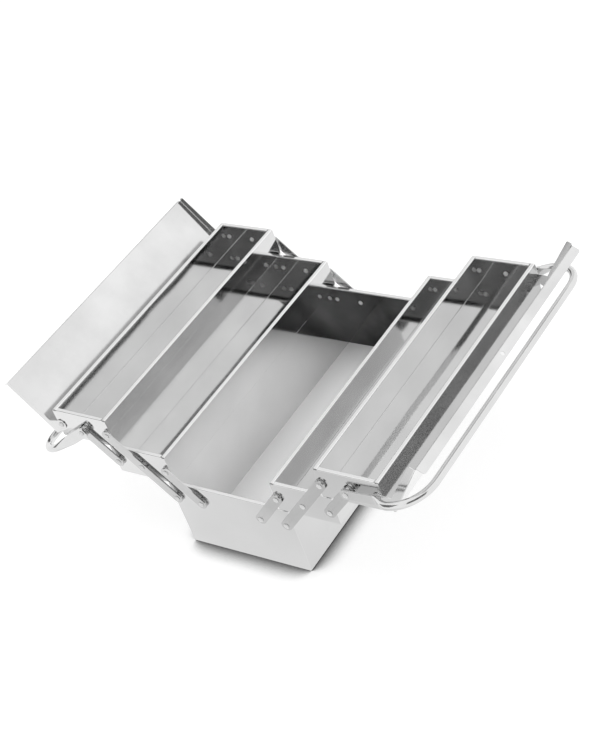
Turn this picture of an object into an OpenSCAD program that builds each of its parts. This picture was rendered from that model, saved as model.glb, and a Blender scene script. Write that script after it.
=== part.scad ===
// Cantilever tool box of polished sheet steel, shown fully open: a base, four
// trays on parallel links, two lids and two carrying handles of bent tube.
// X runs across the box, Y along it and Z up. The origin is the middle of the
// base's underside, and the near end is at -Y. Each piece of the right side is
// drawn once, and the left side is its mirror image.

/* [Base] */
// Length of every compartment over its end panels
box_l = 430; // [300:5:560]
// Width of the base
base_w = 200; // [190:1:230]
// Height of the base
base_h = 113.4; // [90:0.1:150]

/* [Trays] */
// Height of each tray
tray_h = 47.4; // [45:0.1:60]
// Space between the left and right trays when the box is shut
centre_gap = 7; // [6:0.2:9]
// Space between a tray's floor and the rim under it
stack_gap = 0.5; // [0.3:0.1:1.5]
// How far an open tray still lies over the rim under it
rest_overlap = 12.5; // [8:0.5:16]

/* [Sheet] */
// Thickness of the sheet of base, trays and lids
sheet = 1; // [0.8:0.1:1.2]
// Outer radius of the folded bends
bend_r = 2; // [1.5:0.1:3]
// Width of the rims, which are turned inwards and folded flat
rim_w = 6; // [4.5:0.1:7]
// Thickness of the folded rims
rim_t = 2.4; // [2.1:0.1:3]
// Notch between the rims where they meet at a corner
rim_notch = 0.8; // [0.4:0.1:1.5]

/* [Links] */
// Distance of every pivot below its rim
pivot_drop = 25.3; // [24:0.1:28]
// Distance of the outer pivots from the side wall
pivot_in = 7.8; // [7:0.1:10]
// Distance of the inner pivots from a tray's inner side wall
inner_pivot_in = 4.7; // [4.6:0.1:5.2]
// Space between left and right links when the box is shut
link_gap = 0.4; // [0.2:0.1:1]
// Thickness of a link
link_t = 2; // [1.5:0.1:2.5]

/* [Rivets] */
// Diameter of the rivet shanks
rivet_d = 5; // [4:0.1:5.4]
// Diameter of the rivet heads
head_d = 8; // [7:0.1:10]
// Height of the rivet heads
head_h = 1.6; // [1:0.1:2]
// Height of the clenched ends inside the panels
tail_h = 1.2; // [0.8:0.1:2]
// Side clearance of a clenched end to the tray wall
tail_gap = 0.3; // [0.1:0.1:0.6]
// Diameter of the washers
washer_d = 11; // [9:0.1:12]
// Thickness of the washers under the links
washer_t = 1.9; // [1.7:0.1:3]
// Thickness of the spacers under the handles
spacer_t = 2.1; // [1.9:0.1:3]
// Radial clearance of a turning piece on its rivet
turn_fit = 0.05; // [0.02:0.01:0.1]
// End play of a turning piece between its washers
end_play = 0.1; // [0.05:0.01:0.2]

/* [Lids] */
// Distance of the lid pivots from a tray's outer side wall
lid_pivot_in = 6.3; // [6:0.1:8]
// Height of a shut lid's top above the rim
lid_rise = 1.7; // [1.5:0.1:3]
// How far a shut lid reaches past the tray's inner side wall
lid_over = 2; // [1.6:0.1:2.4]
// Height of the lip that stands up along the free edge, above the lid's top
lip_h = 12.4; // [9:0.1:14]
// Radius of the lip's free corners
lip_corner = 4; // [2:0.5:6]
// Space between the ends of the lip and of the lid
lip_relief = 3; // [2.5:0.5:8]
// Diameter of the padlock hole in the lip
hasp_d = 6; // [4:0.1:7]
// Depth of the end flanges at the free edge
flange_h = 9.5; // [8:0.1:12]
// How much deeper the end flanges are at the ears
flange_drop = 3; // [1:0.1:5]
// Radius of the flanges' free corners
flange_corner = 3; // [1:0.5:5]
// Space between an end flange and the end panel
lid_gap = 0.4; // [0.3:0.1:0.5]
// Length of the pivot ears along the lid's end
ear_l = 25.3; // [22:0.1:28]
// Radius of the ears' round ends
ear_r = 8; // [6:0.1:9]
// Angle through which the open right lid has turned
right_lid_angle = 121; // [100:1:130]
// Angle through which the open left lid has turned
left_lid_angle = 126; // [100:1:130]

/* [Handles] */
// Diameter of the handle tube
tube_d = 11; // [9:0.1:13]
// Width of the flattened ends
flat_w = 16.5; // [14:0.1:18]
// Thickness of the flattened ends
flat_t = 2.5; // [2:0.1:3]
// Length of the flattened ends from the pivot
flat_l = 40; // [36:0.5:44]
// Length of the flattened ends past the pivot
flat_tail = 7.5; // [7:0.1:10]
// Radius of the flattened ends' corners
flat_corner = 4.5; // [2:0.1:6]
// Bend of the arms at the flattened ends
crank_angle = 9; // [0:0.5:12]
// Distance from the flattened ends to the middle of the grip
arm_l = 76; // [72:0.5:84]
// Straight round stretch of the arms before the large bends
arm_stub = 2; // [1.5:0.5:4]
// Radius of the two large bends, on the tube's middle
handle_bend = 46; // [38:0.5:47]
// Distance of the arms' middle outside the end panels
tube_out = 17; // [16:0.1:20]
// Slope of the right handle's flattened ends above level
right_handle_angle = 3.5; // [-10:0.1:10]
// Slope of the left handle's flattened ends, which hang below level
left_handle_angle = -34; // [-45:0.1:-20]

/* [Hidden] */
$fn = 64;

// How far a cut runs past what it cuts
overrun = 1;
// Length of the flat and of the round tube that a blend takes in
lap = 1;
// How far a blend's ends stand proud of the flat and round pieces they meet
blend_step = 0.1;
// Facets round a blended end
blend_fn = 32;
// Half width of an ear where it meets its round end, as a share of ear_r
ear_neck_share = 0.9;

// Trays, and how far one step of the links carries them out and up
tray_w = (base_w - centre_gap) / 2;
link_run = (tray_w - rest_overlap) / 2;
link_rise = tray_h + stack_gap;
link_l = sqrt(link_run * link_run + link_rise * link_rise);
link_lean = atan(link_run / link_rise);
link_w = 2 * inner_pivot_in + centre_gap - link_gap;
pivot_pitch = (tray_w - pivot_in - inner_pivot_in) / 2;

// Middles of the open trays on the right side
mid_place = [base_w / 2 + 2 * link_run - tray_w / 2, 0, base_h + stack_gap];
top_place = mid_place + [2 * link_run, 0, link_rise];

// Pivots of the base and of one tray, each as [x, z] from the middle of its floor
base_outer = [base_w / 2 - pivot_in, base_h - pivot_drop];
base_inner = base_outer - [pivot_pitch, 0];
tray_outer = [tray_w / 2 - pivot_in, tray_h - pivot_drop];
tray_middle = tray_outer - [pivot_pitch, 0];
tray_inner = tray_middle - [pivot_pitch, 0];
lid_pivot = [tray_w / 2 - lid_pivot_in, tray_h - pivot_drop];

// Layers outside an end panel, counted from its outer face
link_out = washer_t + end_play;
link_head_out = link_out + link_t + end_play;
handle_out = link_head_out + spacer_t + end_play;
handle_head_out = handle_out + flat_t + end_play;
lid_head_out = lid_gap + sheet + end_play;
tail_r = inner_pivot_in - sheet - tail_gap;

// Length over which the handle tube turns flat
flat_blend = arm_l - handle_bend - arm_stub;

// Lid, measured from its pivot
lid_top = pivot_drop + lid_rise;
lid_reach = tray_w - lid_pivot_in + lid_over;
lid_half_l = box_l / 2 + lid_gap + sheet;
lip_half_l = lid_half_l - lip_relief;
ear_in = ear_l - lid_pivot_in;
ear_neck = ear_neck_share * ear_r;

// Places a flat piece outside the near end, from a gap off the end panel
module near_plate(gap, thick)
    translate([0, -box_l / 2 - gap, 0]) rotate([90, 0, 0]) linear_extrude(thick) children();

module left_side() mirror([1, 0, 0]) children();
module far_end() mirror([0, 1, 0]) children();
module at_mid() translate(mid_place) children();
module at_top() translate(top_place) children();

// Outline of a compartment across the box, with bent lower corners
module box_outline(w, h, r) {
    translate([-w / 2, r]) square([w, h - r]);
    translate([r - w / 2, 0]) square([w - 2 * r, r]);
    for (side = [-1, 1])
        translate([side * (w / 2 - r), r]) circle(r);
}

// Rim in section, turned inwards from the outer side at x = 0
module rim_outline(h) {
    translate([rim_t / 2 - rim_w, h - rim_t]) square([rim_w - rim_t, rim_t]);
    for (x = [-rim_t / 2, rim_t / 2 - rim_w])
        translate([x, h - rim_t / 2]) circle(rim_t / 2);
}

// Floor and side walls folded from one sheet, with a folded rim along each wall
module trough(w, h)
    rotate([90, 0, 0]) linear_extrude(box_l - 2 * sheet, center = true) {
        difference() {
            box_outline(w, h - rim_t / 2, bend_r);
            translate([0, sheet]) box_outline(w - 2 * sheet, h, bend_r - sheet);
        }
        translate([w / 2, 0]) rim_outline(h);
        mirror([1, 0]) translate([w / 2, 0]) rim_outline(h);
    }

// Flat panel that closes the near end, with a folded rim between the corner
// notches, drilled for its rivets
module end_panel(w, h, pivots)
    difference() {
        union() {
            near_plate(-sheet, sheet) box_outline(w, h - rim_t / 2, bend_r);
            translate([0, -box_l / 2, 0]) rotate([90, 0, 90])
                linear_extrude(w - 2 * rim_w - 2 * rim_notch, center = true)
                    mirror([1, 0]) rim_outline(h);
        }
        near_plate(-sheet - overrun, sheet + 2 * overrun)
            for (p = pivots) translate(p) circle(rivet_d / 2);
    }

// Headed rivet through the near end panel at a pivot, clenched inside
module rivet(p, head_out) translate([p[0], -box_l / 2, p[1]]) rotate([90, 0, 0]) {
    translate([0, 0, -sheet - tail_h]) cylinder(h = tail_h, r = tail_r);
    translate([0, 0, -sheet - tail_h]) cylinder(h = sheet + tail_h + head_out, d = rivet_d);
    translate([0, 0, head_out]) cylinder(h = head_h / 2, d = head_d);
    translate([0, 0, head_out + head_h / 2])
        cylinder(h = head_h / 2, d1 = head_d, d2 = head_d / 2);
}

// Washer on the rivet at a pivot
module washer(p, gap, thick)
    near_plate(gap, thick) translate(p) difference() {
        circle(d = washer_d);
        circle(rivet_d / 2 + turn_fit);
    }

module both_ends() {
    children();
    far_end() children();
}

module both_sides() {
    children();
    left_side() children();
}

// Rivets and washers of one side of the base, of a middle tray and of a top tray
module base_side_rivets()
    both_ends() {
        rivet(base_outer, link_head_out);
        rivet(base_inner, link_head_out);
    }

module base_side_washers()
    both_ends() {
        washer(base_outer, 0, washer_t);
        washer(base_inner, 0, washer_t);
    }

module mid_tray_rivets()
    both_ends()
        for (p = [tray_outer, tray_middle, tray_inner]) rivet(p, link_head_out);

module mid_tray_washers()
    both_ends()
        for (p = [tray_outer, tray_middle, tray_inner]) washer(p, 0, washer_t);

module top_tray_rivets()
    both_ends() {
        rivet(tray_inner, link_head_out);
        rivet(tray_middle, handle_head_out);
        rivet(lid_pivot, lid_head_out);
    }

module top_tray_washers()
    both_ends() {
        washer(tray_inner, 0, washer_t);
        washer(tray_middle, 0, washer_t);
        washer(tray_middle, link_head_out, spacer_t);
        washer(lid_pivot, 0, lid_gap - end_play);
    }

module mid_end_panel() end_panel(tray_w, tray_h, [tray_outer, tray_middle, tray_inner]);
module top_end_panel() end_panel(tray_w, tray_h, [tray_middle, tray_inner, lid_pivot]);

// Flat link with a round end, pivoted at p and open towards +X, with a hole at
// each of its steps
module link(p, steps)
    near_plate(link_out, link_t) translate(p) rotate(-link_lean) difference() {
        union() {
            translate([-link_w / 2, 0]) square([link_w, steps * link_l]);
            circle(link_w / 2);
            translate([0, steps * link_l]) circle(link_w / 2);
        }
        for (i = [0 : steps])
            translate([0, i * link_l]) circle(rivet_d / 2 + turn_fit);
    }

module long_link() link(base_outer, 2);
module lower_link() link(base_inner, 1);
module upper_link() translate(mid_place) link(tray_outer, 1);

// Quarter of a bend in section, from the side x = -bend_r up to the top
module bend_outline() difference() {
    intersection() {
        circle(bend_r);
        translate([-bend_r, 0]) square(bend_r);
    }
    circle(bend_r - sheet);
}

// Ear that carries the lid on its pivot
module ear_outline() {
    high = lid_top - bend_r;
    difference() {
        union() {
            polygon([[lid_pivot_in, high], [-ear_in, high], [-ear_neck, 0], [ear_neck, 0]]);
            circle(ear_r);
        }
        circle(rivet_d / 2 + turn_fit);
    }
}

// End flange, which gets deeper towards the ear, with its free corner rounded
module flange_outline() {
    low = lid_top - flange_h;
    high = lid_top - bend_r;
    polygon([[-lid_reach, high], [-lid_reach, low + flange_corner],
             [flange_corner - lid_reach, low], [-ear_neck, low - flange_drop],
             [-ear_neck, high]]);
    translate([flange_corner - lid_reach, low + flange_corner]) circle(flange_corner);
}

// Ear and flange at the near end, with the bend that joins them to the lid
module lid_end() {
    near_plate(lid_gap, sheet) {
        ear_outline();
        flange_outline();
    }
    translate([bend_r - lid_reach, bend_r - lid_half_l, lid_top - bend_r])
        rotate([90, 0, 90]) linear_extrude(lid_reach + lid_pivot_in - bend_r) bend_outline();
}

// Lip that stands up along the free edge, seen from the free side
module lip_outline() {
    low = lid_top - sheet + bend_r;
    high = lid_top + lip_h;
    translate([-lip_half_l, low]) square([2 * lip_half_l, high - low - lip_corner]);
    translate([lip_corner - lip_half_l, low])
        square([2 * (lip_half_l - lip_corner), high - low]);
    for (side = [-1, 1])
        translate([side * (lip_half_l - lip_corner), high - lip_corner]) circle(lip_corner);
}

// Lid of the right side, shut, measured from its pivot
module shut_lid() {
    translate([bend_r - lid_reach, bend_r - lid_half_l, lid_top - sheet])
        cube([lid_reach + lid_pivot_in - bend_r, 2 * (lid_half_l - bend_r), sheet]);
    translate([bend_r - lid_reach, 0, lid_top - sheet + bend_r]) rotate([90, 0, 0])
        linear_extrude(2 * lip_half_l, center = true) mirror([0, 1]) bend_outline();
    translate([-lid_reach, 0, 0]) rotate([90, 0, 90]) linear_extrude(sheet)
        difference() {
            lip_outline();
            translate([0, lid_top + (lip_h - sheet) / 2]) circle(d = hasp_d);
        }
    both_ends() lid_end();
}

// Lid of the right side on its tray, turned open
module open_lid(angle) at_top() translate([lid_pivot[0], 0, lid_pivot[1]])
    rotate([0, angle, 0]) shut_lid();

// Flattened end of the handle tube at the near end, drilled for its rivet
module handle_flat() near_plate(handle_out, flat_t) difference() {
    union() {
        translate([flat_corner - flat_tail, -flat_w / 2])
            square([flat_l + flat_tail - flat_corner, flat_w]);
        translate([-flat_tail, flat_corner - flat_w / 2])
            square([flat_corner, flat_w - 2 * flat_corner]);
        for (side = [-1, 1])
            translate([flat_corner - flat_tail, side * (flat_w / 2 - flat_corner)])
                circle(flat_corner);
    }
    circle(rivet_d / 2 + turn_fit);
}

// Turns a piece from the flattened end's line into the arm's line
module on_arm() translate([flat_l, 0, 0]) rotate([0, -crank_angle, 0]) children();

// Stretch of the tube between flattened and round
module handle_blend() hull() {
    translate([flat_l - lap, 0, 0]) near_plate(handle_out - blend_step, flat_t + 2 * blend_step)
        translate([0, -flat_w / 2 - blend_step]) square([lap, flat_w + 2 * blend_step]);
    on_arm() translate([flat_blend - lap, -box_l / 2 - tube_out, 0]) rotate([0, 90, 0])
        cylinder(h = lap, d = tube_d / cos(180 / blend_fn) + 2 * blend_step, $fn = blend_fn);
}

// Round part of the arm and the large bend into the grip
module handle_arm() on_arm() {
    translate([flat_blend - lap, -box_l / 2 - tube_out, 0]) rotate([0, 90, 0])
        cylinder(h = lap + arm_stub, d = tube_d);
    translate([arm_l - handle_bend, handle_bend - box_l / 2 - tube_out, 0])
        rotate([0, 0, -90]) rotate_extrude(angle = 90)
            translate([handle_bend, 0]) circle(d = tube_d);
}

// Handle of the right side, measured from its pivot with its ends level
module level_handle() {
    both_ends() {
        handle_flat();
        handle_blend();
        handle_arm();
    }
    on_arm() translate([arm_l, 0, 0]) rotate([90, 0, 0])
        cylinder(h = box_l + 2 * tube_out - 2 * handle_bend, d = tube_d, center = true);
}

module at_handle(rise) at_top() translate([tray_middle[0], 0, tray_middle[1]])
    rotate([0, -rise, 0]) children();

// Base
module base_trough() color("silver") trough(base_w, base_h);
module base_end_near() color("gainsboro") end_panel(base_w, base_h,
    [base_outer, base_inner, [-base_outer[0], base_outer[1]], [-base_inner[0], base_inner[1]]]);
module base_end_far() far_end() base_end_near();
module base_rivets() color("whitesmoke") both_sides() base_side_rivets();
module base_washers() color("darkgray") both_sides() base_side_washers();

// Middle trays
module mid_right_trough() color("silver") at_mid() trough(tray_w, tray_h);
module mid_right_end_near() color("gainsboro") at_mid() mid_end_panel();
module mid_right_end_far() far_end() mid_right_end_near();
module mid_right_rivets() color("whitesmoke") at_mid() mid_tray_rivets();
module mid_right_washers() color("darkgray") at_mid() mid_tray_washers();
module mid_left_trough() left_side() mid_right_trough();
module mid_left_end_near() left_side() mid_right_end_near();
module mid_left_end_far() left_side() mid_right_end_far();
module mid_left_rivets() left_side() mid_right_rivets();
module mid_left_washers() left_side() mid_right_washers();

// Top trays
module top_right_trough() color("silver") at_top() trough(tray_w, tray_h);
module top_right_end_near() color("gainsboro") at_top() top_end_panel();
module top_right_end_far() far_end() top_right_end_near();
module top_right_rivets() color("whitesmoke") at_top() top_tray_rivets();
module top_right_washers() color("darkgray") at_top() top_tray_washers();
module top_left_trough() left_side() top_right_trough();
module top_left_end_near() left_side() top_right_end_near();
module top_left_end_far() left_side() top_right_end_far();
module top_left_rivets() left_side() top_right_rivets();
module top_left_washers() left_side() top_right_washers();

// Links
module long_link_right_near() color("lightgray") long_link();
module long_link_right_far() far_end() long_link_right_near();
module long_link_left_near() left_side() long_link_right_near();
module long_link_left_far() left_side() long_link_right_far();
module lower_link_right_near() color("lightgray") lower_link();
module lower_link_right_far() far_end() lower_link_right_near();
module lower_link_left_near() left_side() lower_link_right_near();
module lower_link_left_far() left_side() lower_link_right_far();
module upper_link_right_near() color("lightgray") upper_link();
module upper_link_right_far() far_end() upper_link_right_near();
module upper_link_left_near() left_side() upper_link_right_near();
module upper_link_left_far() left_side() upper_link_right_far();

// Lids and handles
module lid_right() color("gainsboro") open_lid(right_lid_angle);
module lid_left() left_side() color("gainsboro") open_lid(left_lid_angle);
module handle_right() color("whitesmoke") at_handle(right_handle_angle) level_handle();
module handle_left() left_side() color("whitesmoke") at_handle(left_handle_angle) level_handle();

base_trough();
base_end_near();
base_end_far();
base_rivets();
base_washers();
mid_left_trough();
mid_left_end_near();
mid_left_end_far();
mid_left_rivets();
mid_left_washers();
mid_right_trough();
mid_right_end_near();
mid_right_end_far();
mid_right_rivets();
mid_right_washers();
top_left_trough();
top_left_end_near();
top_left_end_far();
top_left_rivets();
top_left_washers();
top_right_trough();
top_right_end_near();
top_right_end_far();
top_right_rivets();
top_right_washers();
long_link_left_near();
long_link_left_far();
long_link_right_near();
long_link_right_far();
lower_link_left_near();
lower_link_left_far();
lower_link_right_near();
lower_link_right_far();
upper_link_left_near();
upper_link_left_far();
upper_link_right_near();
upper_link_right_far();
lid_left();
lid_right();
handle_left();
handle_right();
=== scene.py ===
import math

import bmesh
import bpy
from mathutils import Matrix, Vector
from mathutils.geometry import tessellate_polygon


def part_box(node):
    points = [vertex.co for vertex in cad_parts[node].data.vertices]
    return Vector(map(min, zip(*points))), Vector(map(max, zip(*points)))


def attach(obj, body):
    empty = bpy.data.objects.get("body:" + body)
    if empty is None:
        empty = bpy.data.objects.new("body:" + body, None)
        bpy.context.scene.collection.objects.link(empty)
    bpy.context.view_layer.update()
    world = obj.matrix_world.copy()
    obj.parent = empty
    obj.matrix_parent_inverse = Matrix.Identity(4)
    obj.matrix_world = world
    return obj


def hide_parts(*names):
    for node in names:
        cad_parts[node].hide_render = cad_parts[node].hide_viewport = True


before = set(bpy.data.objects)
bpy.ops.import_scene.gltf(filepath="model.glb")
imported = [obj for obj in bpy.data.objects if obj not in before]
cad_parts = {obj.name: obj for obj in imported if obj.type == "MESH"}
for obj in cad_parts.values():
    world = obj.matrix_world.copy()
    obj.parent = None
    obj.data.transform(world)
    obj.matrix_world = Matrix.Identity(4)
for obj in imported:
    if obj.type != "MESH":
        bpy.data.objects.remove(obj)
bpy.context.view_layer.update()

# Camera
# A long lens looks down on the near end from the right. It is rolled a little, so the
# box seems to stand on the lower right corner of its base.
camera_data = bpy.data.cameras.new("camera")
camera_data.sensor_width = 36
camera_data.lens = 81.127
camera = bpy.data.objects.new("camera", camera_data)
camera.location = (1.30967, -1.29881, 1.5441)
camera.rotation_mode = "QUATERNION"
camera.rotation_quaternion = (0.8749128, 0.3730096, 0.242958, 0.1906909)
bpy.context.scene.collection.objects.link(camera)
bpy.context.scene.camera = camera

# Studio
# The box stands on a white floor in white surroundings. Dark cloths hang behind the
# camera, and a pale screen and a low dark cloth stand on the far side: the bare metal
# mirrors all of them.
view_settings = bpy.context.scene.view_settings
view_settings.view_transform = "Standard"


def math_of(tree, operation, a, b):
    """The output of a Math node whose inputs are numbers or other nodes' outputs."""
    node = tree.nodes.new("ShaderNodeMath")
    node.operation = operation
    for slot_in, value in zip(node.inputs, (a, b)):
        if isinstance(value, (int, float)):
            slot_in.default_value = value
        else:
            tree.links.new(value, slot_in)
    return node.outputs[0]


def level_of(tree, value, from_range, to_range, interpolation="LINEAR"):
    """The output of a Map Range node, which turns one range of values into another."""
    node = tree.nodes.new("ShaderNodeMapRange")
    node.interpolation_type = interpolation
    for socket_name, limit in zip(("From Min", "From Max", "To Min", "To Max"),
                                  (*from_range, *to_range)):
        node.inputs[socket_name].default_value = limit
    tree.links.new(value, node.inputs["Value"])
    return node.outputs[0]


def noise_of(tree, place, scale, detail, distortion=0):
    """The grey of a Noise node at a place."""
    node = tree.nodes.new("ShaderNodeTexNoise")
    node.inputs["Scale"].default_value = scale
    node.inputs["Detail"].default_value = detail
    node.inputs["Distortion"].default_value = distortion
    tree.links.new(place, node.inputs["Vector"])
    return node.outputs["Fac"]


def mix_of(tree, share, first, second):
    """The first shader where the share is 0, and the second where it is 1."""
    node = tree.nodes.new("ShaderNodeMixShader")
    for slot_in, value in zip(node.inputs, (share, first, second)):
        tree.links.new(value, slot_in)
    return node.outputs[0]


def glow_of(tree, strength):
    """A white Emission shader of this strength."""
    node = tree.nodes.new("ShaderNodeEmission")
    tree.links.new(strength, node.inputs["Strength"])
    return node.outputs[0]


room_strength = 0.55
surroundings = bpy.data.worlds.new("surroundings")
bpy.context.scene.world = surroundings
surroundings.use_nodes = True
room_tree = surroundings.node_tree
seen_from = room_tree.nodes.new("ShaderNodeLightPath")
seen_white = math_of(room_tree, "MAXIMUM", seen_from.outputs["Is Camera Ray"],
                     seen_from.outputs["Is Glossy Ray"])
seen_white = math_of(room_tree, "MAXIMUM", seen_white, seen_from.outputs["Is Transmission Ray"])
room_light = room_tree.nodes["Background"]
white_room = room_tree.nodes.new("ShaderNodeBackground")
for backdrop, strength in ((room_light, room_strength), (white_room, 1)):
    backdrop.inputs["Color"].default_value = (1, 1, 1, 1)
    backdrop.inputs["Strength"].default_value = strength
room_mix = mix_of(room_tree, seen_white, room_light.outputs[0], white_room.outputs[0])
room_tree.links.new(room_mix, room_tree.nodes["World Output"].inputs["Surface"])


def studio_paint(name):
    """A material without a shader yet, and its tree."""
    paint = bpy.data.materials.new(name)
    paint.use_nodes = True
    tree = paint.node_tree
    tree.nodes.remove(tree.nodes["Principled BSDF"])
    return paint, tree


def flat_mesh(name, width, height, paint, z=0):
    """A painted rectangle round the Z axis."""
    x, y = width / 2, height / 2
    mesh = bpy.data.meshes.new(name)
    mesh.from_pydata([(-x, -y, z), (x, -y, z), (x, y, z), (-x, y, z)], [], [(0, 1, 2, 3)])
    mesh.materials.append(paint)
    return mesh


# The folds in the cards: their scale, detail and bend, and the greys of the noise used
card_folds = 8
card_fold_detail = 3
card_fold_bend = 2.2
card_fold_greys = (0.42, 0.58)


def card(name, centre, facing, width, height, grey, unevenness):
    """An unevenly lit screen that only the metal sees."""
    paint, tree = studio_paint(name)
    place = tree.nodes.new("ShaderNodeTexCoord")
    folds = noise_of(tree, place.outputs["Object"], card_folds, card_fold_detail, card_fold_bend)
    level = level_of(tree, folds, card_fold_greys,
                     (grey * (1 - unevenness), grey * (1 + unevenness)))
    tree.links.new(glow_of(tree, level), tree.nodes["Material Output"].inputs["Surface"])
    screen = bpy.data.objects.new(name, flat_mesh(name, width, height, paint))
    screen.location = centre
    screen.rotation_mode = "QUATERNION"
    screen.rotation_quaternion = Vector(facing).to_track_quat("Z", "Y")
    screen.visible_camera = False
    screen.visible_diffuse = False
    screen.visible_shadow = False
    bpy.context.scene.collection.objects.link(screen)


# (direction from the box to the card, distance, width, height, grey, unevenness)
STUDIO_CARDS = {
    "dark_cloth_left": ((-0.62, -0.60, 0.50), 2.6, 2.3, 1.7, 0.17, 0.9),
    "dark_cloth_right": ((0.62, -0.60, 0.50), 2.6, 2.3, 1.7, 0.17, 0.9),
    "pale_screen_far": ((-0.45, 0.66, 0.60), 2.8, 3.4, 2.0, 0.80, 0.05),
    "low_cloth_far": ((-0.768, 0.625, 0.22), 2.5, 1.5, 0.8, 0.12, 0.3),
}
for card_name, (way, distance, *size_and_grey) in STUDIO_CARDS.items():
    way = Vector(way).normalized()
    card(card_name, way * distance, -way, *size_and_grey)

# The floor lies a hair below the box. It glows by itself, and a painted shadow darkens it where
# the box comes close to it.
floor_side = 24
floor_z = -0.0004
contact_reach = 0.055
contact_range = (0.42, 0.86)
contact_dark = 0.02
floor_glow_share = 0.8
floor_coat_share = 0.34
floor_paint, floor_tree = studio_paint("white_floor")
make, join = floor_tree.nodes.new, floor_tree.links.new
contact = make("ShaderNodeAmbientOcclusion")
contact.samples = 16
contact.inputs["Distance"].default_value = contact_reach
contact_depth = level_of(floor_tree, contact.outputs["AO"], contact_range, (contact_dark, 1),
                         "SMOOTHSTEP")
floor_coat = make("ShaderNodeBsdfDiffuse")
join(math_of(floor_tree, "MULTIPLY", contact_depth, floor_coat_share),
     floor_coat.inputs["Color"])
floor_sum = make("ShaderNodeAddShader")
join(glow_of(floor_tree, math_of(floor_tree, "MULTIPLY", contact_depth, floor_glow_share)),
     floor_sum.inputs[0])
join(floor_coat.outputs[0], floor_sum.inputs[1])

# The metal sees a floor that is less lit in front of the box
dim_spot_at = (0.04, -0.42, 0)
dim_spot_r = 0.42
dim_spot_level = 0.64
floor_place = make("ShaderNodeTexCoord")
dim_spot = make("ShaderNodeMapping")
dim_spot.vector_type = "TEXTURE"
dim_spot.inputs["Location"].default_value = dim_spot_at
dim_spot.inputs["Scale"].default_value = (dim_spot_r, dim_spot_r, 1)
join(floor_place.outputs["Object"], dim_spot.inputs["Vector"])
dim_fade = make("ShaderNodeTexGradient")
dim_fade.gradient_type = "SPHERICAL"
join(dim_spot.outputs["Vector"], dim_fade.inputs["Vector"])
seen_level = level_of(floor_tree, dim_fade.outputs["Fac"], (0, 1), (1, dim_spot_level))
floor_seen_from = make("ShaderNodeLightPath")
floor_mix = mix_of(floor_tree, floor_seen_from.outputs["Is Glossy Ray"], floor_sum.outputs[0],
                   glow_of(floor_tree, seen_level))
join(floor_mix, floor_tree.nodes["Material Output"].inputs["Surface"])
floor = bpy.data.objects.new(
    "floor", flat_mesh("floor", floor_side, floor_side, floor_paint, floor_z))
bpy.context.scene.collection.objects.link(floor)

# (place, size, power) of each lamp, which faces the box
LAMPS = {
    "lamp_above": ((-0.3, 0.4, 2.6), 2.4, 40),
    "lamp_right": ((2.2, 0.9, 1.7), 1.6, 12),
}
for lamp_name, (place, size, power) in LAMPS.items():
    lamp_data = bpy.data.lights.new(lamp_name, "AREA")
    lamp_data.size = size
    lamp_data.energy = power
    lamp = bpy.data.objects.new(lamp_name, lamp_data)
    lamp.location = place
    lamp.rotation_mode = "QUATERNION"
    lamp.rotation_quaternion = (-Vector(place)).to_track_quat("-Z", "Y")
    lamp.visible_glossy = False
    bpy.context.scene.collection.objects.link(lamp)

# Troughs
# Each compartment's floor and long walls are one sheet of polished stainless steel,
# folded up at both sides. The rim of each wall is turned inwards and folded flat.
mm = 0.001
sheet_t = 1
fold_r = 2
rim_t = 2.4
rim_w = 6
satin_h = 1.6
weld_gap = 0.002
rim_margin = 0.01
sharp_angle = math.radians(40)

# Scales of the patterns that every steel finish has
cloud_scale, cloud_detail = 11, 4
line_scale, line_detail, line_stretch = 900, 2, 0.012
swell_scale, swell_detail = 6, 1
haze_share = (0.7, 1.4)


def arc(centre, radius, start, end, steps):
    """Points along an arc in the plane of a section, from start to end in degrees."""
    turns = [math.radians(start + (end - start) * i / steps) for i in range(steps + 1)]
    return [(centre[0] + radius * math.cos(a), centre[1] + radius * math.sin(a)) for a in turns]


def rim_section(rim):
    """Folded rim from the outer face over its flat top to the wall's inner face."""
    roll = rim_t / 2
    return (arc((roll, rim - roll), roll, 180, 90, 6)
            + arc((rim_w - roll, rim - roll), roll, 90, -90, 10)
            + [(sheet_t, rim - rim_t)])


def polished_steel(name, dark, pale, roughness, ripple, brushed_along, metallic=1.0):
    """Mirror-polished stainless steel: faint clouds, polishing lines and soft ripples."""
    steel = bpy.data.materials.new(name)
    steel.use_nodes = True
    tree = steel.node_tree
    shader = tree.nodes["Principled BSDF"]
    shader.inputs["Metallic"].default_value = metallic
    place = tree.nodes.new("ShaderNodeTexCoord").outputs["Object"]
    tint = tree.nodes.new("ShaderNodeValToRGB")
    for stop, position, grey in zip(tint.color_ramp.elements, (0.3, 0.7), (dark, pale)):
        stop.position = position
        stop.color = (grey, grey, grey, 1)
    tree.links.new(noise_of(tree, place, cloud_scale, cloud_detail), tint.inputs["Fac"])
    tree.links.new(tint.outputs["Color"], shader.inputs["Base Color"])
    stretch = tree.nodes.new("ShaderNodeMapping")
    stretch.inputs["Scale"].default_value = [
        line_stretch if axis == brushed_along else 1 for axis in "XYZ"]
    tree.links.new(place, stretch.inputs["Vector"])
    lines = noise_of(tree, stretch.outputs["Vector"], line_scale, line_detail)
    haze = level_of(tree, lines, (0, 1), [roughness * share for share in haze_share])
    tree.links.new(haze, shader.inputs["Roughness"])
    soft_bump = tree.nodes.new("ShaderNodeBump")
    soft_bump.inputs["Distance"].default_value = ripple
    tree.links.new(noise_of(tree, place, swell_scale, swell_detail), soft_bump.inputs["Height"])
    tree.links.new(soft_bump.outputs["Normal"], shader.inputs["Normal"])
    return steel


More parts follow.
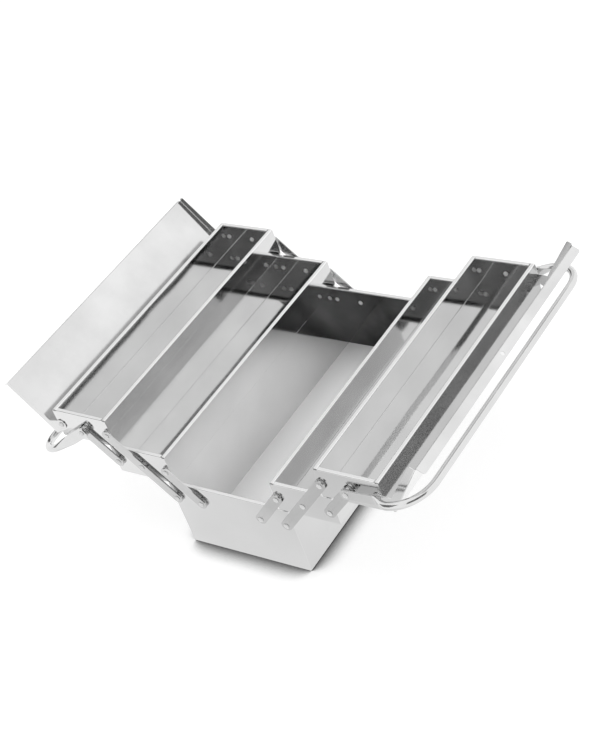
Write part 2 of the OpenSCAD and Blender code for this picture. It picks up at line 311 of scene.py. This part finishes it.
def piece_of(name, points, faces, material):
    """A welded piece from points in millimetres, with its faces turned outwards."""
    mesh = bpy.data.meshes.new(name)
    mesh.from_pydata([Vector(p) * mm for p in points], [], faces)
    work = bmesh.new()
    work.from_mesh(mesh)
    bmesh.ops.remove_doubles(work, verts=work.verts, dist=weld_gap * mm)
    bmesh.ops.recalc_face_normals(work, faces=work.faces)
    work.to_mesh(mesh)
    work.free()
    mesh.shade_smooth()
    mesh.materials.append(material)
    piece = bpy.data.objects.new(name, mesh)
    bpy.context.scene.collection.objects.link(piece)
    return piece


def finish_faces(piece, steel, is_chosen):
    """Gives the still plain faces a finish of their own where their middle is chosen."""
    piece.data.materials.append(steel)
    finish = len(piece.data.materials) - 1
    for face in piece.data.polygons:
        if face.material_index == 0 and is_chosen(face.center / mm):
            face.material_index = finish


def paint_rim_highlight(piece, rim):
    """The folded rim gets a painted highlight: a brighter steel than the rest of its sheet."""
    finish_faces(piece, rim_highlight_steel, lambda middle: middle.z > rim - rim_t - rim_margin)


def soften_edges(piece, width):
    """Breaks the sharp edges by a small round, if any, and keeps the flat faces flat."""
    if width:
        round_off = piece.modifiers.new("broken_edges", "BEVEL")
        round_off.width = width * mm
        round_off.segments = 2
        round_off.limit_method = "ANGLE"
        round_off.angle_limit = sharp_angle
    else:
        piece.data.set_sharp_from_angle(angle=sharp_angle)
    flat = piece.modifiers.new("flat_faces", "WEIGHTED_NORMAL")
    flat.keep_sharp = True


trough_steel = polished_steel("trough_steel", 0.72, 0.78, 0.07, 0.0009, "Y")
satin_steel = polished_steel("satin_steel", 0.95, 0.98, 0.5, 0.0006, "Y", 0.1)
# Painted shade: a darker steel for the outer wall beside each lid
lid_shade_steel = polished_steel("lid_shade_steel", 0.50, 0.56, 0.10, 0.0006, "Y")
# Painted highlight: a brighter steel for the folded rims
rim_highlight_steel = polished_steel("rim_highlight_steel", 0.93, 0.97, 0.14, 0.0, "Y")

for body in ("base", "mid_left", "mid_right", "top_left", "top_right"):
    name = f"{body}_trough"
    low, high = (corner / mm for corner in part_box(name))
    half_w = (high.x - low.x) / 2
    right_side = (
        arc((half_w - fold_r, low.z + fold_r), fold_r, -90, 0, 8)
        + [(half_w - inwards, up) for inwards, up in rim_section(high.z)]
        + arc((half_w - fold_r, low.z + fold_r), fold_r - sheet_t, 0, -90, 6))
    left_side = [(-x, z) for x, z in reversed(right_side)]
    section = [(low.x + half_w + x, z) for x, z in right_side + left_side]
    count = len(section)
    points = [(x, y, z) for y in (low.y, high.y) for x, z in section]
    faces = [(i, (i + 1) % count, (i + 1) % count + count, i + count) for i in range(count)]
    faces += [tuple(range(count)), tuple(range(count, 2 * count))]
    trough = piece_of(f"{body}_folded_sheet", points, faces, trough_steel)
    paint_rim_highlight(trough, high.z)
    if body == "base":
        # The base's floor is satin, where its walls are mirrors
        finish_faces(trough, satin_steel, lambda middle: middle.z < low.z + satin_h)
    if body.startswith("top"):
        # The wall that the lid folds down against is painted darker on its outer side, a painted
        # shade from the lid beside it
        outwards = -1 if "left" in body else 1
        finish_faces(trough, lid_shade_steel, lambda middle: outwards * (
            middle.x - low.x - half_w) > half_w - sheet_t / 2)
    soften_edges(trough, 0)
    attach(trough, body)
    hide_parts(name)

# End panels
# A flat panel of the same sheet closes each end. Its rim is turned inwards like the
# walls', with a small notch at each corner, and it is drilled for the rivets.
SIDES = ((-1, "left"), (1, "right"))
ENDS = ((-1, "near"), (1, "far"))
box_l = (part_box("base_end_far")[1].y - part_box("base_end_near")[0].y) / mm
rim_notch = 0.8
hole_r = 2.52
pivot_drop = 25.3
pivot_in = 7.8
pivot_pitch = 42
lid_pivot_in = 6.3
panel_edge = 0.12
far_shade_depth = 0.9
# Painted shade: a dark, uneven steel for the inside of the base's far panel
painted_shade_steel = polished_steel("painted_shade_steel", 0.02, 0.15, 0.09, 0.004, "X")
end_steel = polished_steel("end_steel", 0.78, 0.83, 0.08, 0.0035, "X")


def hole_at(centre, radius):
    """The outline of a round hole, as 36 points."""
    return arc(centre, radius, 0, 350, 35)


def drilled_faces(outline, holes, offset):
    """Triangles of a flat face with round holes, for points listed one after another."""
    loops = [[Vector((x, z, 0)) for x, z in loop] for loop in [outline, *holes]]
    return [tuple(offset + i for i in triangle) for triangle in tessellate_polygon(loops)]


def wall_faces(start, count, depth_step):
    """The faces round one hole, between the two sides of a plate."""
    return [(start + i, start + (i + 1) % count,
             start + (i + 1) % count + depth_step, start + i + depth_step)
            for i in range(count)]


def end_panel(name, holes_at, end):
    """A drilled plate with rounded lower corners, and its folded rim as a strip inside."""
    low, high = (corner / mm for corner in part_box(name))
    middle, half_w, rim = (low.x + high.x) / 2, (high.x - low.x) / 2, high.z
    top, under = rim - rim_t / 2, rim - rim_t
    rim_end = half_w - rim_w - rim_notch
    right_corner = arc((half_w - fold_r, low.z + fold_r), fold_r, -90, 0, 8) + [(half_w, top)]
    left_corner = [(-half_w, top)] + arc((fold_r - half_w, low.z + fold_r), fold_r, 180, 270, 8)
    outer = right_corner + [(rim_end, top), (-rim_end, top)] + left_corner
    inner = (right_corner + [(rim_end, top), (rim_end, under), (-rim_end, under), (-rim_end, top)]
             + left_corner)
    holes = [hole_at(centre, hole_r) for centre in holes_at]
    hole_points = [p for loop in holes for p in loop]
    outer_y, inwards = end * box_l / 2, -end
    points = [(middle + x, outer_y, z) for x, z in outer + hole_points]
    points += [(middle + x, outer_y + inwards * sheet_t, z) for x, z in inner + hole_points]
    count = len(outer) + len(hole_points)
    faces = drilled_faces(outer, holes, 0) + drilled_faces(inner, holes, count)
    # The plate's edge is open along the rim, where the folded strip joins it
    rim_edge = outer.index((rim_end, top))
    for i in range(len(outer)):
        after = (i + 1) % len(outer)
        if i != rim_edge:
            across = [count + j + (2 if j > rim_edge else 0) for j in (i, after)]
            faces.append((i, after, across[1], across[0]))
    start = len(outer)
    for hole in holes:
        faces += wall_faces(start, len(hole), count + len(inner) - len(outer))
        start += len(hole)
    strip = rim_section(rim)
    start = len(points)
    for x in (rim_end, -rim_end):
        points += [(middle + x, outer_y + inwards * depth, z)
                   for depth, z in strip + [(sheet_t, top)]]
    size = len(strip) + 1
    faces += [(start + i, start + i + 1, start + i + 1 + size, start + i + size)
              for i in range(size - 2)]
    faces += [tuple(range(start, start + size)), tuple(range(start + size, start + 2 * size))]
    panel = piece_of(name.replace("end", "panel"), points, faces, end_steel)
    paint_rim_highlight(panel, rim)
    soften_edges(panel, panel_edge)
    return panel


def tray_pivots(name, side, which):
    """Places of the rivets in a tray's end panel, from its middle, in millimetres."""
    low, high = (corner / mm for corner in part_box(name))
    half_w = (high.x - low.x) / 2
    places = {"outer": half_w - pivot_in, "middle": half_w - pivot_in - pivot_pitch,
              "inner": half_w - pivot_in - 2 * pivot_pitch, "lid": half_w - lid_pivot_in}
    return [(side * places[key], high.z - pivot_drop) for key in which]


for end, end_name in ENDS:
    node = f"base_end_{end_name}"
    at_right = tray_pivots(node, 1, ["outer", "middle"])
    panel = end_panel(node, at_right + [(-x, z) for x, z in at_right], end)
    if end > 0:
        # The inner side of this panel is painted dark and uneven, a painted shade
        finish_faces(panel, painted_shade_steel, lambda middle: middle.y < box_l / 2 - far_shade_depth)
    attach(panel, "base")
    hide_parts(node)
    for side, side_name in SIDES:
        for level, which in (("mid", ["outer", "middle", "inner"]),
                             ("top", ["middle", "inner", "lid"])):
            node = f"{level}_{side_name}_end_{end_name}"
            panel = end_panel(node, tray_pivots(node, side, which), end)
            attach(panel, f"{level}_{side_name}")
            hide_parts(node)

# Links
# Flat bars with round ends, punched and polished, carry the trays. A long bar runs from
# the base past the middle tray to the top tray, and short bars keep each tray level.
link_t = 2
link_hole_r = 2.55
link_out = 2.0
link_edge = 0.2
link_steel = polished_steel("link_steel", 0.62, 0.72, 0.18, 0.0002, "Z")


def new_tree(name, size_names):
    """A Geometry Nodes tree with a named input for each size, and their identifiers."""
    tree = bpy.data.node_groups.new(name, "GeometryNodeTree")
    tree.interface.new_socket("Geometry", in_out="INPUT", socket_type="NodeSocketGeometry")
    inputs = {size_name: tree.interface.new_socket(
        size_name, in_out="INPUT", socket_type="NodeSocketFloat").identifier
        for size_name in size_names}
    tree.interface.new_socket("Geometry", in_out="OUTPUT", socket_type="NodeSocketGeometry")
    return tree, inputs


def end_tree(tree, result, steel):
    """Makes a tree's instances real, gives them their steel and sends them out."""
    real = tree.nodes.new("GeometryNodeRealizeInstances")
    tree.links.new(result, real.inputs[0])
    finish = tree.nodes.new("GeometryNodeSetMaterial")
    finish.inputs["Material"].default_value = steel
    tree.links.new(real.outputs[0], finish.inputs["Geometry"])
    tree.links.new(finish.outputs[0], tree.nodes.new("NodeGroupOutput").inputs[0])


def plain_mesh(name, tree, inputs, sizes, points=()):
    """Runs a node tree with these sizes and returns its result as a plain mesh."""
    source = bpy.data.meshes.new(name + "_source")
    source.from_pydata(list(points), [], [])
    carrier = bpy.data.objects.new(name + "_source", source)
    bpy.context.scene.collection.objects.link(carrier)
    maker = carrier.modifiers.new("maker", "NODES")
    maker.node_group = tree
    for size_name, value in sizes.items():
        maker[inputs[size_name]] = value
    bpy.context.view_layer.update()
    graph = bpy.context.evaluated_depsgraph_get()
    mesh = bpy.data.meshes.new_from_object(carrier.evaluated_get(graph), depsgraph=graph)
    carrier.modifiers.remove(maker)
    bpy.data.objects.remove(carrier)
    bpy.data.meshes.remove(source)
    mesh.name = name
    return mesh


# A bar outline is a circle whose upper half is moved up, with a row of holes
bar_tree, bar_inputs = new_tree(
    "punched_bar", ["Half width", "Pitch", "Steps", "Thickness", "Hole radius"])
make, join = bar_tree.nodes.new, bar_tree.links.new
given = make("NodeGroupInput")
length = math_of(bar_tree, "MULTIPLY", given.outputs["Pitch"], given.outputs["Steps"])
rim_circle = make("GeometryNodeCurvePrimitiveCircle")
rim_circle.inputs["Resolution"].default_value = 64
join(given.outputs["Half width"], rim_circle.inputs["Radius"])
where = make("GeometryNodeInputPosition")
apart = make("ShaderNodeSeparateXYZ")
join(where.outputs[0], apart.inputs[0])
just_above = 0.00001
is_upper = math_of(bar_tree, "GREATER_THAN", apart.outputs["Y"], just_above)
lift = make("ShaderNodeCombineXYZ")
join(length, lift.inputs["Y"])
stretched = make("GeometryNodeSetPosition")
join(rim_circle.outputs["Curve"], stretched.inputs["Geometry"])
join(is_upper, stretched.inputs["Selection"])
join(lift.outputs[0], stretched.inputs["Offset"])
hole_step = make("ShaderNodeCombineXYZ")
join(given.outputs["Pitch"], hole_step.inputs["Y"])
hole_count = math_of(bar_tree, "ADD", given.outputs["Steps"], 1.0)
hole_row = make("GeometryNodeMeshLine")
join(hole_count, hole_row.inputs["Count"])
join(hole_step.outputs[0], hole_row.inputs["Offset"])
hole_circle = make("GeometryNodeCurvePrimitiveCircle")
hole_circle.inputs["Resolution"].default_value = 32
join(given.outputs["Hole radius"], hole_circle.inputs["Radius"])
holes_placed = make("GeometryNodeInstanceOnPoints")
join(hole_row.outputs["Mesh"], holes_placed.inputs["Points"])
join(hole_circle.outputs["Curve"], holes_placed.inputs["Instance"])
holes_real = make("GeometryNodeRealizeInstances")
join(holes_placed.outputs["Instances"], holes_real.inputs[0])
all_loops = make("GeometryNodeJoinGeometry")
join(holes_real.outputs[0], all_loops.inputs[0])
join(stretched.outputs[0], all_loops.inputs[0])
face_fill = make("GeometryNodeFillCurve")
join(all_loops.outputs[0], face_fill.inputs["Curve"])
raised = make("GeometryNodeExtrudeMesh")
raised.inputs["Individual"].default_value = False
join(face_fill.outputs["Mesh"], raised.inputs["Mesh"])
join(given.outputs["Thickness"], raised.inputs["Offset Scale"])
underside = make("GeometryNodeFlipFaces")
join(face_fill.outputs["Mesh"], underside.inputs["Mesh"])
both_faces = make("GeometryNodeJoinGeometry")
join(raised.outputs["Mesh"], both_faces.inputs[0])
join(underside.outputs[0], both_faces.inputs[0])
welded = make("GeometryNodeMergeByDistance")
welded.inputs["Distance"].default_value = weld_gap * mm
join(both_faces.outputs[0], welded.inputs["Geometry"])
end_tree(bar_tree, welded.outputs[0], link_steel)

# name of the row, body ending, tray that carries its first hole, that hole's place, steps
LINK_ROWS = [
    ("long_link", "long_links", "base", "outer", 2),
    ("lower_link", "lower_links", "base", "middle", 1),
    ("upper_link", "upper_links", "mid", "outer", 1),
]
for side, side_name in SIDES:
    for end, end_name in ENDS:
        for row, body_end, tray, hole, steps in LINK_ROWS:
            node = f"{row}_{side_name}_{end_name}"
            carrier_node = "base_end_near" if tray == "base" else f"mid_{side_name}_end_near"
            low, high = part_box(carrier_node)
            (pivot_x, pivot_z), = tray_pivots(carrier_node, side, [hole])
            pivot = Vector(((low.x + high.x) / 2 + pivot_x * mm, 0, pivot_z * mm))
            link_low, link_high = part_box(node)
            half_width = pivot.z - link_low.z
            run = (link_high.x - link_low.x) - 2 * half_width
            rise = (link_high.z - link_low.z) - 2 * half_width
            bar = plain_mesh(node + "_bar", bar_tree, bar_inputs, {
                "Half width": half_width, "Pitch": math.hypot(run, rise) / steps,
                "Steps": float(steps), "Thickness": link_t * mm,
                "Hole radius": link_hole_r * mm})
            # The bar is made upright in the plane of X and Y and leans outwards in place
            lean = math.atan2(run, rise)
            stand = Matrix.Rotation(math.radians(90), 4, "X")
            tilt = Matrix.Rotation(side * lean, 4, "Y")
            off_panel = box_l / 2 + link_out + (link_t if end > 0 else 0)
            bar.transform(Matrix.Translation((pivot.x, end * off_panel * mm, pivot.z))
                          @ tilt @ stand)
            bar.shade_smooth()
            link = bpy.data.objects.new(node + "_bar", bar)
            bpy.context.scene.collection.objects.link(link)
            soften_edges(link, link_edge)
            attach(link, f"{side_name}_{body_end}")
            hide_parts(node)

# Washers and spacers
# Plain turned rings keep the links and handles off the panels and off each other, and a
# thin one lies under each ear of a lid.
washer_r = 5.5
washer_hole_r = 2.55
washer_edge = 0.25
washer_edge_share = 0.3
washer_steel = polished_steel("washer_steel", 0.50, 0.62, 0.24, 0.0, "Z")

# (start off the end panel, thickness) of each kind of ring
LINK_WASHER, HANDLE_SPACER, EAR_WASHER = (0, 1.9), (4.1, 2.1), (0, 0.3)

ring_tree, ring_inputs = new_tree(
    "ring_on_points", ["Outer radius", "Inner radius", "Thickness", "Edge round"])
make, join = ring_tree.nodes.new, ring_tree.links.new
given = make("NodeGroupInput")
outer, inner = given.outputs["Outer radius"], given.outputs["Inner radius"]
mean = math_of(ring_tree, "MULTIPLY", math_of(ring_tree, "ADD", outer, inner), 0.5)
path = make("GeometryNodeCurvePrimitiveCircle")
path.inputs["Resolution"].default_value = 48
join(mean, path.inputs["Radius"])
section = make("GeometryNodeCurvePrimitiveQuadrilateral")
join(math_of(ring_tree, "SUBTRACT", outer, inner), section.inputs["Width"])
join(given.outputs["Thickness"], section.inputs["Height"])
rounded = make("GeometryNodeFilletCurve")
rounded.mode = "POLY"
rounded.inputs["Count"].default_value = 3
join(section.outputs["Curve"], rounded.inputs["Curve"])
join(given.outputs["Edge round"], rounded.inputs["Radius"])
swept = make("GeometryNodeCurveToMesh")
join(path.outputs["Curve"], swept.inputs["Curve"])
join(rounded.outputs["Curve"], swept.inputs["Profile Curve"])
placed = make("GeometryNodeInstanceOnPoints")
placed.inputs["Rotation"].default_value = (math.radians(90), 0, 0)
join(given.outputs[0], placed.inputs["Points"])
join(swept.outputs["Mesh"], placed.inputs["Instance"])
end_tree(ring_tree, placed.outputs["Instances"], washer_steel)


def joined(name, meshes):
    """One object from several meshes of one material."""
    work = bmesh.new()
    for mesh in meshes:
        work.from_mesh(mesh)
    whole = bpy.data.meshes.new(name)
    work.to_mesh(whole)
    work.free()
    whole.materials.append(meshes[0].materials[0])
    for mesh in meshes:
        bpy.data.meshes.remove(mesh)
    whole.shade_smooth()
    whole.set_sharp_from_angle(angle=sharp_angle)
    piece = bpy.data.objects.new(name, whole)
    bpy.context.scene.collection.objects.link(piece)
    return piece


def end_places(node, side, which, out_mm):
    """Points at both ends over the named pivots, out_mm off the end panels."""
    low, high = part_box(node)
    middle = (low.x + high.x) / 2
    return [(middle + x * mm, end * (box_l / 2 + out_mm) * mm, z * mm)
            for end in (-1, 1) for x, z in tray_pivots(node, side, which)]


def pivot_groups(on_base, on_mid, on_top):
    """Each tray's body, end panel and sides, with what sits at its pivots."""
    groups = [("base", "base_end_near", (-1, 1), on_base)]
    for side, side_name in SIDES:
        groups += [(f"{level}_{side_name}", f"{level}_{side_name}_end_near", (side,), kinds)
                   for level, kinds in (("mid", on_mid), ("top", on_top))]
    return groups


for body, panel_node, sides, kinds in pivot_groups(
        [(["outer", "middle"], LINK_WASHER)],
        [(["outer", "middle", "inner"], LINK_WASHER)],
        [(["middle", "inner"], LINK_WASHER), (["middle"], HANDLE_SPACER),
         (["lid"], EAR_WASHER)]):
    node = f"{body}_washers"
    rings = []
    for which, (start, thickness) in kinds:
        points = [p for side in sides
                  for p in end_places(panel_node, side, which, start + thickness / 2)]
        rings.append(plain_mesh(node, ring_tree, ring_inputs, {
            "Outer radius": washer_r * mm, "Inner radius": washer_hole_r * mm,
            "Thickness": thickness * mm,
            "Edge round": min(washer_edge, thickness * washer_edge_share) * mm}, points))
    washers = joined(f"{body}_rings", rings)
    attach(washers, body)
    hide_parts(node)

# Rivets
# Every pivot is a steel rivet with a low domed head outside, set through the panel and
# clenched flat inside the tray.
tail_r = 3.4
tail_h = 1.2
shank_r = 2.5
head_r = 4
head_h = 1.6
rivet_steel = polished_steel("rivet_steel", 0.46, 0.60, 0.2, 0.0, "Z")

# How far off the end panel each kind of head starts
LINK_HEAD, HANDLE_HEAD, LID_HEAD = 4.1, 8.9, 1.5

# Outline of a rivet from its clenched end to the top of its head: each step names the
# input that its radius is a share of, and the input that its rise is a share of
RIVET_STEPS = [
    ("Tail radius", 0.80, None, 0), ("Tail radius", 1.0, "Tail height", 0.25),
    ("Tail radius", 1.0, "Tail height", 0.75), ("Shank radius", 1.0, None, 0),
    ("Shank radius", 1.0, "Shank length", 1.0), ("Head radius", 0.97, None, 0),
    ("Head radius", 1.0, "Head height", 0.08), ("Head radius", 1.0, "Head height", 0.34),
    ("Head radius", 0.95, "Head height", 0.16), ("Head radius", 0.84, "Head height", 0.16),
    ("Head radius", 0.66, "Head height", 0.13), ("Head radius", 0.44, "Head height", 0.08),
    ("Head radius", 0.20, "Head height", 0.04), ("Head radius", 0.04, "Head height", 0.01),
]
rivet_tree, rivet_inputs = new_tree(
    "rivet_on_points", ["Tail radius", "Tail height", "Shank radius", "Shank length",
                        "Head radius", "Head height"])
make, join = rivet_tree.nodes.new, rivet_tree.links.new
given = make("NodeGroupInput")
blank = make("GeometryNodeMeshCircle")
blank.fill_type = "NGON"
blank.inputs["Vertices"].default_value = 32
last_radius = math_of(rivet_tree, "MULTIPLY", given.outputs[RIVET_STEPS[0][0]], RIVET_STEPS[0][1])
join(last_radius, blank.inputs["Radius"])
closed_end = make("GeometryNodeFlipFaces")
join(blank.outputs["Mesh"], closed_end.inputs["Mesh"])
grown, top = blank.outputs["Mesh"], None
for radius_name, radius_share, rise_name, rise_share in RIVET_STEPS[1:]:
    radius = math_of(rivet_tree, "MULTIPLY", given.outputs[radius_name], radius_share)
    extrude = make("GeometryNodeExtrudeMesh")
    extrude.inputs["Individual"].default_value = False
    join(grown, extrude.inputs["Mesh"])
    if top is not None:
        join(top, extrude.inputs["Selection"])
    if rise_name:
        join(math_of(rivet_tree, "MULTIPLY", given.outputs[rise_name], rise_share),
             extrude.inputs["Offset Scale"])
    else:
        extrude.inputs["Offset Scale"].default_value = 0
    widen = make("GeometryNodeScaleElements")
    join(extrude.outputs["Mesh"], widen.inputs["Geometry"])
    join(extrude.outputs["Top"], widen.inputs["Selection"])
    join(math_of(rivet_tree, "DIVIDE", radius, last_radius), widen.inputs["Scale"])
    grown, top, last_radius = widen.outputs["Geometry"], extrude.outputs["Top"], radius
both = make("GeometryNodeJoinGeometry")
join(grown, both.inputs[0])
join(closed_end.outputs[0], both.inputs[0])
welded = make("GeometryNodeMergeByDistance")
welded.inputs["Distance"].default_value = weld_gap * mm / 2
join(both.outputs[0], welded.inputs["Geometry"])
# The heads face away from the middle of the box
where = make("GeometryNodeInputPosition")
apart = make("ShaderNodeSeparateXYZ")
join(where.outputs[0], apart.inputs[0])
which_end = math_of(rivet_tree, "SIGN", apart.outputs["Y"], 0)
turn = make("ShaderNodeCombineXYZ")
join(math_of(rivet_tree, "MULTIPLY", which_end, math.radians(-90)), turn.inputs["X"])
placed = make("GeometryNodeInstanceOnPoints")
join(given.outputs[0], placed.inputs["Points"])
join(welded.outputs[0], placed.inputs["Instance"])
join(turn.outputs[0], placed.inputs["Rotation"])
end_tree(rivet_tree, placed.outputs["Instances"], rivet_steel)

for body, panel_node, sides, kinds in pivot_groups(
        [(["outer", "middle"], LINK_HEAD)],
        [(["outer", "middle", "inner"], LINK_HEAD)],
        [(["inner"], LINK_HEAD), (["middle"], HANDLE_HEAD), (["lid"], LID_HEAD)]):
    node = f"{body}_rivets"
    rows = []
    for which, head_at in kinds:
        points = [p for side in sides
                  for p in end_places(panel_node, side, which, -sheet_t - tail_h)]
        rows.append(plain_mesh(node, rivet_tree, rivet_inputs, {
            "Tail radius": tail_r * mm, "Tail height": tail_h * mm,
            "Shank radius": shank_r * mm, "Shank length": (sheet_t + head_at) * mm,
            "Head radius": head_r * mm, "Head height": head_h * mm}, points))
    rivets = joined(f"{body}_set_rivets", rows)
    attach(rivets, body)
    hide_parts(node)

# Lids
# Each lid is one bright sheet with a lip that stands up along its free edge, and a
# flange folded down at each end that runs into the ear on its rivet. The lip has a
# padlock hole in its middle.
lid_top = 27.0
lid_reach = 92.2
lid_half_l = 216.4
lip_half_l = 213.4
lip_high = 39.4
lip_corner = 4
lock_hole_at = 32.7
lock_hole_r = 3
flange_low = 17.5
flange_corner = 3
flange_meets_ear = (-14.16, 14.755)
ear_r = 8
ear_arc = (169.75, 387.97)
lid_edge = 0.15
LID_OPEN_ANGLE = {"left": 126, "right": 121}
lid_steel = polished_steel("lid_steel", 0.70, 0.84, 0.13, 0.0016, "Y")

# The sheet's outer side, shut, with the hinge on the Y axis and the tray towards -X
lid_points, lid_faces = [], []


def add_flat(outline, holes, to_point):
    """A flat face of the lid's outer side, given in its own plane."""
    start = len(lid_points)
    lid_points.extend(to_point(a, b) for loop in [outline, *holes] for a, b in loop)
    lid_faces.extend(drilled_faces(outline, holes, start))


def add_fold(bend, to_point, start_at, end_at):
    """A quarter bend from the top on, between two places along its fold line."""
    start = len(lid_points)
    lid_points.extend(to_point(out, z, at) for at in (start_at, end_at) for out, z in bend)
    step = len(bend)
    lid_faces.extend((start + i, start + i + 1, start + i + 1 + step, start + i + step)
                     for i in range(step - 1))


fold_at = lid_half_l - fold_r
lip_fold_at = fold_r - lid_reach
top_outline = [(lid_pivot_in, -fold_at), (lid_pivot_in, fold_at), (lip_fold_at, fold_at),
               (lip_fold_at, lip_half_l), (lip_fold_at, -lip_half_l), (lip_fold_at, -fold_at)]
add_flat(top_outline, [], lambda x, y: (x, y, lid_top))

lip_z = lid_top - sheet_t + fold_r
up_bend = arc((0, lip_z), fold_r - sheet_t, 270, 180, 6)
add_fold(up_bend, lambda out, z, y: (lip_fold_at + out, y, z), -lip_half_l, lip_half_l)
lip_outline = ([(-lip_half_l, lip_z), (lip_half_l, lip_z)]
               + arc((lip_half_l - lip_corner, lip_high - lip_corner), lip_corner, 0, 90, 6)
               + arc((lip_corner - lip_half_l, lip_high - lip_corner), lip_corner, 90, 180, 6))
lock_hole = hole_at((0, lock_hole_at), lock_hole_r)
add_flat(lip_outline, [lock_hole], lambda y, z: (sheet_t - lid_reach, y, z))

fold_z = lid_top - fold_r
down_bend = arc((0, fold_z), fold_r, 90, 0, 6)
end_outline = ([(lid_pivot_in, fold_z), (lip_fold_at, fold_z), (-lid_reach, fold_z)]
               + arc((flange_corner - lid_reach, flange_low + flange_corner),
                     flange_corner, 180, 270, 6)
               + [flange_meets_ear] + arc((0, 0), ear_r, *ear_arc, 24))
ear_hole = hole_at((0, 0), link_hole_r)
for end in (-1, 1):
    add_fold(down_bend, lambda out, z, x: (x, end * (fold_at + out), z),
             lip_fold_at, lid_pivot_in)
    add_flat(end_outline, [ear_hole], lambda x, z: (x, end * lid_half_l, z))


def onto_tray(side, side_name, pivot_name, turn):
    """The matrix that turns a piece about its pivot and sets it onto a top tray."""
    panel_node = f"top_{side_name}_end_near"
    low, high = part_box(panel_node)
    (pivot_x, pivot_z), = tray_pivots(panel_node, 1, [pivot_name])
    return (Matrix.Translation(((low.x + high.x) / 2, 0, 0))
            @ Matrix.Scale(side, 4, (1, 0, 0))
            @ Matrix.Translation((pivot_x * mm, 0, pivot_z * mm))
            @ Matrix.Rotation(math.radians(turn), 4, "Y"))


for side, side_name in SIDES:
    lid = piece_of(f"lid_{side_name}_sheet", lid_points, lid_faces, lid_steel)
    work = bmesh.new()
    work.from_mesh(lid.data)
    top_face = max(work.faces, key=lambda face: face.calc_area())
    if top_face.normal.z < 0:
        bmesh.ops.reverse_faces(work, faces=work.faces)
    bmesh.ops.transform(work, verts=work.verts, matrix=onto_tray(
        side, side_name, "lid", LID_OPEN_ANGLE[side_name]))
    # The left lid is a mirrored one, so its faces are turned back
    if side < 0:
        bmesh.ops.reverse_faces(work, faces=work.faces)
    work.to_mesh(lid.data)
    work.free()
    lid.data.shade_smooth()
    gauge = lid.modifiers.new("sheet", "SOLIDIFY")
    gauge.thickness = sheet_t * mm
    gauge.offset = -1
    gauge.use_even_offset = True
    soften_edges(lid, lid_edge)
    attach(lid, f"lid_{side_name}")
    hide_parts(f"lid_{side_name}")

# Handles
# Each handle is one piece of polished round tube, bent twice. Its ends are pressed flat and
# cranked a little, at the rivets that also carry the top tray.
tube_r = 5.5
flat_half_w = 8.25
flat_half_t = 1.25
flat_mid = 7.55
flat_l = 40
flat_tail = 7.5
flat_corner = 4.5
flat_rings_at = (6, 18, 30, 37)
crank_angle = 9
crank_share = 0.25
arm_l = 76
round_from = 28
bend_r = 46
tube_out = 17
tube_edge = 0.3
corner_steps, press_steps, bend_steps = 8, 14, 16
HANDLE_RISE = {"left": -34, "right": 3.5}
tube_steel = polished_steel("tube_steel", 0.72, 0.80, 0.12, 0.0, "Y")


def ring_of(centre, up, across, half_up, half_across, count=32):
    """A stadium-shaped ring: a circle, or a circle pressed flat."""
    ring = []
    for i in range(count):
        turn = 2 * math.pi * (i + 0.5) / count
        straight = math.copysign(half_up - half_across, math.cos(turn))
        ring.append(centre + up * (straight + half_across * math.cos(turn))
                    + across * (half_across * math.sin(turn)))
    return ring


def half_handle():
    """Rings from the pressed end to the middle of the bend, for a level handle."""
    y_flat = -(box_l / 2 + flat_mid)
    y_arm = -(box_l / 2 + tube_out)
    crank = math.radians(crank_angle)
    arm_way = Vector((math.cos(crank), 0, math.sin(crank)))
    level, cranked = Vector((0, 0, 1)), Vector((-math.sin(crank), 0, math.cos(crank)))
    sideways = Vector((0, 1, 0))
    rings = []
    # The flat end is rounded at its corners
    for i in range(corner_steps + 1):
        corner = flat_corner * (1 - math.cos(math.radians(90 * i / corner_steps)))
        drawn_in = flat_corner - math.sqrt(max(0, flat_corner ** 2 - (flat_corner - corner) ** 2))
        rings.append(ring_of(Vector((corner - flat_tail, y_flat, 0)), level, sideways,
                             flat_half_w - drawn_in, flat_half_t))
    for x in flat_rings_at:
        rings.append(ring_of(Vector((x, y_flat, 0)), level, sideways, flat_half_w, flat_half_t))
    # From the elbow on it opens into the round tube
    elbow = Vector((flat_l, y_flat, 0))
    for i in range(1, press_steps + 1):
        share = i / press_steps
        ease = share * share * (3 - 2 * share)
        centre = elbow + arm_way * (round_from * share)
        centre.y = y_flat + (y_arm - y_flat) * ease
        up = level.lerp(cranked, min(1, share / crank_share)).normalized()
        rings.append(ring_of(centre, up, sideways,
                             flat_half_w + (tube_r - flat_half_w) * ease,
                             flat_half_t + (tube_r - flat_half_t) * ease))
    for i in range(bend_steps + 1):
        turn = math.radians(90 * i / bend_steps)
        centre = elbow + arm_way * (arm_l - bend_r + bend_r * math.sin(turn))
        centre.y = y_arm + bend_r * (1 - math.cos(turn))
        across = sideways * math.cos(turn) - arm_way * math.sin(turn)
        rings.append(ring_of(centre, cranked, across, tube_r, tube_r))
    return rings


near_half = half_handle()
far_half = [[Vector((p.x, -p.y, p.z)) for p in ring] for ring in reversed(near_half)]
tube_rings = near_half + far_half
count = len(tube_rings[0])
last = len(tube_rings) - 1
tube_points = [p for ring in tube_rings for p in ring]
tube_faces = []
for start in range(0, last * count, count):
    for i in range(count):
        j = (i + 1) % count
        tube_faces.append((start + i, start + j, start + count + j, start + count + i))
tube_faces += [tuple(range(count)), tuple(range(last * count, (last + 1) * count))]

for side, side_name in SIDES:
    handle = piece_of(f"handle_{side_name}_tube", tube_points, tube_faces, tube_steel)
    handle.data.transform(onto_tray(side, side_name, "middle", -HANDLE_RISE[side_name]))
    if side < 0:
        handle.data.flip_normals()
    soften_edges(handle, tube_edge)
    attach(handle, f"handle_{side_name}")
    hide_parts(f"handle_{side_name}")
